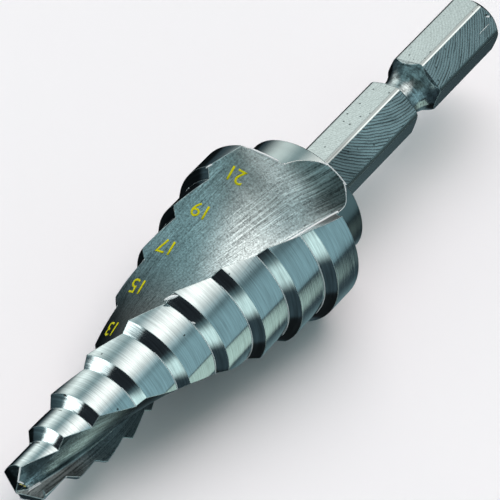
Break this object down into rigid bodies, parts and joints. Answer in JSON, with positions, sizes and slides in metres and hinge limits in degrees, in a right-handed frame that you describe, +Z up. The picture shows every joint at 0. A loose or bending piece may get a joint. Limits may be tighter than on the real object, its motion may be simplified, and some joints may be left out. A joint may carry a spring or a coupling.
{
  "type": "step drill",
  "caption": "Long step drill for sheet metal: stepped conical body with helical flutes, short collar and a hexagonal quick-change shank with a detent groove.",
  "frame": {"origin": "on the floor, under the middle of the bounding box of the drill as it lies at rest", "axes": "+X from the tip towards the shank, seen from above; +Z up; the drill's axis rises 2.2 degrees towards the shank in the XZ plane"},
  "size_m": [0.0814, 0.0208, 0.0175],
  "materials": {
    "steel": "ground and polished high-speed steel, bright, with fine turning and grinding lines"
  },
  "bodies": {
    "root": {"step_drill": "steel"}
  },
  "joints": []
}
